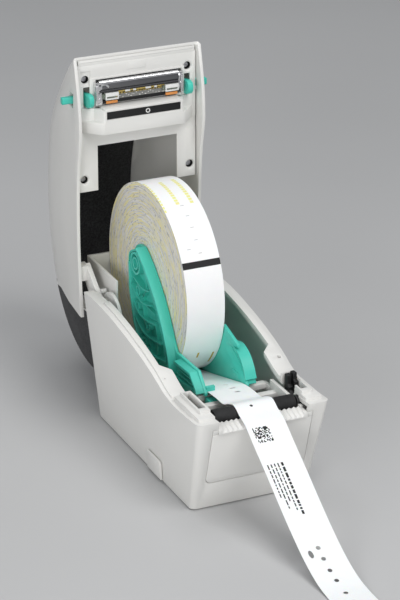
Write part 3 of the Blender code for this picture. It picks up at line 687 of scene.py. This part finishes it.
def make_strip():
    strip = Strip()
    band = sheet(strip.path, STRIP_THICKNESS, -MEDIA_HALF, MEDIA_HALF, sharp=60)
    s = strip.at_y
    holes = [strip.round_hole(s(-78), -2.5, 1.0, 1.0)]
    holes += [strip.round_hole(s(y), 3.3, 2.1, 0.75) for y in (-28.4, -38.5, -46.8)]
    holes += [strip.round_hole(s(y), x, 1.5, long) for y, x, long in
              ((-163.6, -1, 1.4), (-167.8, -7, 2.8), (-172, -1, 1.4), (-180, -1, 1.4),
               (-188, -0.7, 1.4), (-198.4, -0.9, 1.4), (-207.2, -0.7, 1.4), (-219, -0.7, 1.4))]
    cut(band, *holes)
    piece(band, "free_strip", "base", "label_paper", stands_for=["label_strip"])

    rng = random.Random(11)
    start = s(CODE_Y)
    blocks = []
    for row in range(CODE_CELLS):
        run = None
        for col in range(CODE_CELLS + 1):
            dark = col < CODE_CELLS and rng.random() < 0.52
            if dark and run is None:
                run = col
            if not dark and run is not None:
                blocks.append(strip.patch(start + row * CODE_CELL,
                                          start + (row + 1) * CODE_CELL + 0.01,
                                          CODE_X + run * CODE_CELL, CODE_X + col * CODE_CELL))
                run = None
    for x, width, length in ((0.4, 1.5, 36), (-2.6, 0.8, 33), (-4.8, 0.8, 26), (-7.0, 0.8, 30),
                             (-9.2, 0.8, 22)):
        at = s(PRINT_Y)
        stop = at + length
        while at < stop:
            size_along = rng.uniform(1.2, 3.6)
            blocks.append(strip.patch(at, min(at + size_along, stop + 0.5), x - width, x))
            at += size_along + rng.uniform(0.5, 0.9)
    piece(gather(blocks), "strip_print", "base", "label_paper", INK)


# ---------------------------------------------------------------- holders

def make_holder_ribs(side):
    """Webs, rings and pads on the outer face of one holder arm."""
    deep = [([(57.5, 118.5), (66.5, 113), (67, 104), (63.5, 96.5), (66.8, 88), (62, 72.5)], 1.2),
            ([(50, 115.6), (38, 104), (24, 88), (14, 71), (10, 60)], 1.0),
            ([(60.5, 99), (48, 96), (36, 98)], 0.9), ([(64, 92), (50, 86), (34, 89)], 0.9),
            ([(65, 84), (50, 76), (26, 79)], 0.9), ([(61, 73), (44, 66), (18, 69)], 0.9),
            ([(55, 62), (36, 56), (10, 60)], 0.9)]
    cross = [([(60, 98.5), (50, 86.5), (30, 84)], 0.8), ([(41, 98), (50, 86), (44, 66)], 0.8),
             ([(50, 76.5), (36, 57), (30, 46)], 0.8), ([(62, 84), (46, 92), (44, 106)], 0.8),
             ([(30, 79), (26, 62), (34, 47)], 0.8)]
    low, high = span(side, HOLDER_FACE, 19.2)
    parts = [sheet(smooth_path(path, 4), width, low, high) for path, width in deep]
    low, high = span(side, HOLDER_FACE, 17.6)
    parts += [sheet(smooth_path(path, 4), width, low, high) for path, width in cross]
    low, high = span(side, HOLDER_FACE, 19.6)
    parts += [hoop("x", 56.6, 109.6, outer, bore, low, high)
              for outer, bore in ((7.4, 6.0), (4.2, 3.0))]
    low, high = span(side, HOLDER_FACE, 18.4)
    parts += [hoop("x", y, z, 3.4, 2.3, low, high, 24)
              for y, z in ((55, 91.5), (57, 80), (40, 73), (46, 60))]
    for part in parts:
        smooth(part)
    name = "left" if side < 0 else "right"
    piece(gather(parts), "holder_webs_" + name, "holder_" + name, "teal_plastic")


def make_holder_toe(side):
    """Stepped guide block at the foot of an arm."""
    name = "left" if side < 0 else "right"
    parts = []
    for k in range(3):
        parts.append(sheet([(-31.5 + 3 * k, 58.6 + 2.6 * k), (-5, 57.0 + 2.9 * k)], 0.9,
                           *span(side, HOLDER_FACE, 19.4 - 0.5 * k)))
    parts.append(sheet([(-30.6, 59.4), (-16, 57.6), (2, 53.4)], 1.0,
                       *span(side, HOLDER_FACE, 19.8)))
    low, high = span(side, 7.6, 13.2)
    if side < 0:
        parts.append(box(low, high, -37.8, -35.6, 58.2, 62.4))
        parts.append(box(low, high, -37.8, -31.5, 58.2, 59.2))
    piece(gather(parts), "holder_toe_" + name, "holder_" + name, "teal_plastic")


def make_holder_guide():
    """Fin and curved guide face on the inner side of the right arm."""
    fin = prism([(-4, 86), (-25, 80.6), (-25.6, 78.8), (0, 74)], "x", 13.2, 15.4)
    lip = sheet(smooth_path([(-10, 75.6), (-19, 77.4), (-28, 74.4), (-34, 68.5), (-37.6, 62)], 4),
                1.4, 13.0, 20.4)
    boss = box(12.6, 13.4, -28.6, -18.6, 58.6, 62.4)
    web = prism([(-10, 75.4), (-19, 77.2), (-28, 74.2), (-34, 68.3), (-37.4, 62), (-36, 58),
                 (-10, 56)], "x", 13.6, 14.8)
    for part in (fin, boss, web):
        bevelled(part, 0.25)
    piece(gather([fin, lip, boss, web]), "holder_guide_right", "holder_right", "teal_plastic")


# ---------------------------------------------------------------- head and panel details

def make_head_face():
    """Bright edge, glaze band and heater line at the top of the head."""
    edge = loft([[(x, y, z) for y, z in arc(94.0, 218.6, 1.5, 200, -20, 10)]
                 for x in (-27.2, 27.2)])
    piece(edge, "head_top_edge", "head", "bright_steel")
    bar = bevelled(box(-26.6, 26.6, 92.35, 93.4, 214.8, 218.4), 0.2)
    piece(bar, "head_face_bar", "head", "aluminium_bar")
    glaze = bevelled(box(-26.8, 26.8, 92.2, 93.6, 212.6, 214.9), 0.3)
    piece(glaze, "head_glaze_band", "head", "head_ceramic_glaze")
    line = box(-26.4, 26.4, 92.12, 92.3, 213.5, 213.9)
    piece(line, "head_heater_line", "head", "head_ceramic_glaze",
          MATERIALS["aluminium_bar"])


def make_head_board():
    """Leads, chips, connectors and the small parts on the head's board."""
    rng = random.Random(5)
    gold = [box(-14.0, 17.6, 93.6, 94.9, 211.2, 212.1)]
    for i in range(28):
        x = -13.6 + i * 1.1 + rng.uniform(-0.2, 0.2)
        gold.append(box(x, x + rng.uniform(0.3, 0.7), 93.4, 94.9, 210.1,
                        210.1 + rng.uniform(0.4, 1.1)))
    piece(gather(gold), "head_gold_leads", "head", "brass", GOLD)
    chips = []
    for x, width in ((-9.5, 3.4), (-4.0, 2.0), (4.6, 3.6), (10.5, 1.8)):
        chips.append(bevelled(box(x, x + width, 93.0, 94.9, 211.0, 212.4), 0.2))
    piece(gather(chips), "head_white_chips", "head", "gear_plastic", WHITE_PLASTIC)
    shells, cavities = [], []
    for x0, x1 in ((-23.2, -14.2), (17.8, 27.0)):
        shells.append(cut(bevelled(box(x0, x1, 92.0, 95.2, 207.2, 211.9), 0.3),
                          box(x0 + 0.8, x1 - 0.8, 90, 93.4, 208.3, 209.5)))
        for k in range(7):
            x = x0 + 1.4 + k * 1.2
            cavities.append(box(x, x + 0.5, 92.9, 93.6, 208.4, 209.4))
    piece(gather(shells), "head_connectors", "head", "gear_plastic", WHITE_PLASTIC)
    piece(gather(cavities), "head_connector_pins", "head", "brass", GOLD)
    piece(box(-14.0, 17.6, 94.2, 94.9, 206.9, 210.0), "head_board_face", "head", "circuit_board",
          GREY_BOARD)
    parts = []
    for i in range(16):
        x = -12.8 + i * 1.9 + rng.uniform(-0.5, 0.5)
        z = rng.choice((207.4, 208.3, 209.2))
        parts.append(box(x, x + rng.uniform(0.4, 1.0), 93.9, 94.3, z, z + 0.4))
    piece(gather(parts), "head_small_parts", "head", "circuit_board", WHITE_PLASTIC)
    rail = bevelled(box(-27, 27, 94.0, 96.0, 204.6, 206.6), 0.25)
    piece(rail, "head_lower_rail", "head", "black_plastic")
    pads = [bevelled(box(x0, x1, 93.3, 94.1, 204.5, 206.3), 0.2)
            for x0, x1 in ((-22.4, -14.6), (18.4, 26.6))]
    piece(gather(pads), "head_copper_pads", "head", "brass", COPPER)


def make_head_brackets():
    """Punched plates at both ends of the head, with the clip on the right."""
    plate = box(-29.6, -25.4, 92.3, 93.1, 204.6, 219.4)
    side_wall = box(-29.8, -29.0, 92.3, 98.6, 204.6, 219.4)
    ear = prism([(-26.4, 219.2), (-22.9, 219.2), (-20.6, 216.2), (-21.4, 215.4), (-23.6, 217.6),
                 (-26.4, 217.0)], "y", 91.9, 92.6)
    holes = [box(-28.3, -26.3, 90, 93, z, z + 1.2) for z in (205.8, 208.8, 216.8)]
    holes.append(rod("y", -27.2, 213.2, 0.9, 90, 93, 20))
    holes.append(box(-25.9, -25.0, 90, 93, 209.5, 214.5))
    left = cut(weld(plate, side_wall, ear), *holes)
    piece(bevelled(left, 0.12), "head_side_plate_left", "head", "bright_steel")
    right = bevelled(box(28.2, 29.0, 91.8, 98.4, 205.2, 219.2), 0.1)
    piece(right, "head_side_plate_right", "head", "bright_steel")
    block = bevelled(box(29.0, 29.8, 93.8, 98.4, 206.0, 218.0), 0.2)
    piece(block, "head_side_block_right", "head", "black_plastic")
    clip = sheet(smooth_path([(94.2, 218.8), (92.3, 216.6), (92.9, 213.4), (92.1, 210.4),
                              (93.6, 207.6)], 4), 0.5, 26.9, 28.0)
    piece(clip, "head_spring_clip_right", "head", "bright_steel")


def make_panel():
    """Inner panel with screw wells, a pocket, a raised pad and a stiffening edge."""
    front = PANEL_FRONT
    panel = copy_node("inner_panel")
    wells = []
    for x, z in SCREWS:
        wells.append(loft([[(a, front - 0.2, b) for a, b in arc(x, z, 3.7, 0, 360, 32)[:-1]],
                           [(a, front + 0.9, b) for a, b in arc(x, z, 2.5, 0, 360, 32)[:-1]]]))
    pocket = box(-38.2, -31.6, front - 1, front + 0.7, 216.9, 226.6)
    recess = box(33.8, 41, front - 1, front + 0.6, 179.4, 187.0)
    cut(panel, pocket, recess, *wells)
    bevelled(panel, 0.3)
    piece(panel, "inner_panel_skin", "cover", "housing_plastic", stands_for=["inner_panel"])
    pad = bevelled(box(-6.2, 6.2, front - 0.3, front + 0.2, 224.2, 229.6), 0.2)
    piece(pad, "panel_pad", "cover", "housing_plastic")
    frame = cut(box(-32.4, 32.4, front - 0.5, front + 0.2, 202.4, 221.8),
                box(-28.3, 31.0, front - 2, front + 2, 201, 220.4))
    piece(bevelled(frame, 0.15), "head_opening_frame", "cover", "housing_plastic")
    ledge = [bevelled(box(-39.8, 39.8, front - 0.1, front + 1.4, 230.2, 234.0), 0.3)]
    ledge.append(bevelled(box(-38.6, 38.6, front - 0.5, front + 0.6, 232.3, 233.1), 0.25))
    piece(gather(ledge), "panel_top_ledge", "cover", "housing_plastic")
    for number, (x, z) in enumerate(SCREWS, 1):
        head = cut(bevelled(rod("y", x, z, 1.9, front + 3.0, front + 5.6, 24), 0.2),
                   box(x - 1.2, x + 1.2, front + 2, front + 3.5, z - 0.25, z + 0.25),
                   box(x - 0.25, x + 0.25, front + 2, front + 3.5, z - 1.2, z + 1.2))
        piece(head, f"screw_head_{number}", "cover", "steel",
              stands_for=[f"panel_screw_{number}"])
        # The walls of the screw wells are drawn near black: painted shade inside the wells.
        wall = cut(rod("y", x, z, 3.1, front + 1.9, front + 5.8, 32),
                   rod("y", x, z, 2.3, front + 1, front + 5.4, 32))
        piece(wall, f"screw_well_{number}", "cover", "housing_plastic", HOLE_SHADE_PAINT)


def make_sensor_strip():
    """Dark band across the head cover, with a small ringed lens."""
    low, high = [in_mm(c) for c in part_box("sensor_strip")]
    band = bevelled(box(low[0], high[0], 85.45, 86.1, low[2], high[2]), 0.15)
    piece(band, "sensor_band", "cover", "black_plastic", stands_for=["sensor_strip"])
    ring = hoop("y", LENS_X, LENS_Z, 1.5, 0.9, 85.2, 85.9)
    piece(ring, "sensor_ring", "cover", "housing_plastic", WHITE_PLASTIC)
    # The lens is drawn near black rather than in its green lens plastic: painted shade in the
    # sensor opening.
    eye = rod("y", LENS_X, LENS_Z, 0.85, 85.35, 85.8, 24)
    piece(eye, "sensor_eye", "cover", "lens_plastic", HOLE_SHADE_PAINT)


# ---------------------------------------------------------------- base details

RIM = [(-100, 66.6), (-91.6, 66), (-63.6, 64), (-43.6, 65.5), (-24.6, 72), (-2.6, 77.5),
       (22.9, 82), (50.4, 85), (76, 85.3), (95, 85)]


def make_base_shell():
    """Base shell with a raised band inside its rim and small holes in it."""
    shell = copy_node("base_shell")
    curve = [(y, z) for y, z in smooth_path(RIM, 4) if -50.5 <= y <= 62]
    band_path = [(y, z - 1.2) for y, z in curve] + [(y, z + 1.3) for y, z in curve[::-1]]
    for side in (-1, 1):
        outline = [(side * x, y) for x, y in ((31.05, -50.2), (31.05, -26), (37.05, -20),
                                              (37.05, 57.5), (41.0, 57.5), (41.0, -50.2))]
        band = boolean(prism(outline, "z", 55, 100), "INTERSECT",
                       [prism(band_path, "x", -60, 60)])
        weld(shell, band)
    hole = rod("z", 38.6, -31.8, 1.3, 60, 90, 24)
    dimple = rod("z", -38.4, -31.8, 0.5, 69.5, 90, 16)
    cut(shell, hole, dimple, box(31.6, 38.9, -66, -51.8, 58.2, 80))
    bevelled(shell, 0.4)
    piece(shell, "base_shell_skin", "base", "housing_plastic", stands_for=["base_shell"])


def make_exit_details():
    """Skirt round the ramp, caps over the platen's ends and the dark stops beside them."""
    skirt = [box(*span(side, 26.9, 29.3), -90.2, -81.5, 57.2, 60.6) for side in (-1, 1)]
    skirt.append(box(-29.3, 29.3, -89.9, -88.6, 56.4, 58.2))
    for side in (-1, 1):
        x0, x1 = span(side, 29.3, 32.85)
        loops = []
        for z in (56.7, 60.3):
            front = -72.8 - 0.2848 * z
            loops.append([(x0, front - 0.15, z), (x1, front - 0.15, z), (x1, front + 1.2, z),
                          (x0, front + 1.2, z)])
        skirt.append(loft(loops))
    skirt = gather([bevelled(part, 0.25) for part in skirt])
    piece(skirt, "exit_skirt", "base", "housing_plastic")
    stop = bevelled(box(-35.3, -32.3, -77.0, -73.2, 57, 65.6), 0.3)
    piece(stop, "catch_stop_left", "base", "black_plastic")
    for side, name in ((-1, "left"), (1, "right")):
        hood = arc(PLATEN_Y, PLATEN_Z, 4.4, 0, 180, 16) + [(-79.4, 54.5), (-70.6, 54.5)]
        cap = prism(hood, "x", *span(side, 27.9, 30.8))
        cut(cap, rod("x", PLATEN_Y, PLATEN_Z, 1.85, -34, 34, 24))
        piece(bevelled(cap, 0.25), "platen_cap_" + name, "base", "black_plastic")
    outline = [(-52.4, 58.4), (-52.4, 70.4), (-56.6, 70.4), (-56.6, 66.2), (-59.0, 65.4),
               (-59.0, 63.4), (-61.5, 61.8), (-65.4, 60.6), (-65.4, 58.4)]
    bracket = bevelled(prism(outline, "x", 36.0, 38.7), 0.3)
    piece(bracket, "catch_bracket_right", "base", "black_plastic")


def socket_block(node, edge):
    """Softened block where a socket stands, with its middle and the place of its rear face."""
    low, high = [in_mm(c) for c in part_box(node)]
    x, z, rear = (low[0] + high[0]) / 2, (low[2] + high[2]) / 2, high[1]
    return bevelled(box(low[0], high[0], low[1], rear, low[2], high[2]), edge), x, z, rear


def make_connectors():
    """Sockets in the rear wall, with their cavities and contacts."""
    shell, x, z, rear = socket_block("power_inlet", 0.4)
    cut(shell, rod("y", x, z, 3.6, rear - 9, rear + 1, 32))
    piece(shell, "inlet_housing", "base", "black_plastic", stands_for=["power_inlet"])
    pin = bevelled(rod("y", x, z, 1.0, rear - 9.5, rear - 1.5, 20), 0.3)
    piece(pin, "inlet_pin", "base", "steel", MATERIALS["bright_steel"])

    shell, x, z, rear = socket_block("usb_port", 0.4)
    cut(shell, box(x - 6.6, x + 6.6, rear - 9, rear + 1, z - 3.2, z + 3.2))
    piece(shell, "usb_shell", "base", "steel", stands_for=["usb_port"])
    tongue = bevelled(box(x - 4.6, x + 4.6, rear - 9.5, rear - 1.2, z - 1.1, z + 1.1), 0.2)
    piece(tongue, "usb_tongue", "base", "black_plastic")

    shell, x, z, rear = socket_block("serial_port", 0.3)
    mouth = prism([(x - 7.6, z + 3.6), (x + 7.6, z + 3.6), (x + 6.2, z - 3.6),
                   (x - 6.2, z - 3.6)], "y", rear - 6, rear + 1)
    cut(shell, mouth, *[rod("y", x + side * 8.7, z, 0.6, rear - 3, rear + 1, 16)
                        for side in (-1, 1)])
    piece(shell, "serial_shell", "base", "steel", stands_for=["serial_port"])
    pins = []
    for count, height in ((5, 1.4), (4, -1.4)):
        for k in range(count):
            pins.append(rod("y", x + (k - (count - 1) / 2) * 2.7, z + height, 0.5,
                            rear - 6.5, rear - 1.4, 12))
    piece(gather(pins), "serial_pins", "base", "brass", GOLD)


def make_cover_ends():
    """Plates that close the rear ends of the cover's flanks beside the dark panel."""
    outline = [(29.8, 100), (40.6, 100), (39.8, 109), (38.4, 119.7), (34.2, 145.9), (30.5, 163),
               (29.8, 165)]
    for side, name in ((-1, "left"), (1, "right")):
        plate = bevelled(prism([(side * x, y) for x, y in outline], "z", *PLATE_Z), 0.2)
        web = bevelled(box(*span(side, 29.75, 31.0), 100, 164, 56.2, 64.8), 0.2)
        piece(gather([plate, web]), "cover_end_plate_" + name, "cover", "housing_plastic")


# ---------------------------------------------------------------- run

def finish_nodes():
    """Materials and smooth shading on the nodes that stay as they are."""
    for node, obj in NODES.items():
        obj.data.materials.clear()
        obj.data.materials.append(MATERIALS[SLOTS[node]])
        smooth(obj)


make_stage()
finish_nodes()
make_roll()
make_roll_marks()
make_strip()
for holder_side in (-1, 1):
    make_holder_ribs(holder_side)
    make_holder_toe(holder_side)
make_holder_guide()
make_head_face()
make_head_board()
make_head_brackets()
make_panel()
make_sensor_strip()
make_base_shell()
make_exit_details()
make_connectors()
make_cover_ends()
for node, width in SOFT_EDGES:
    refine(node, width)
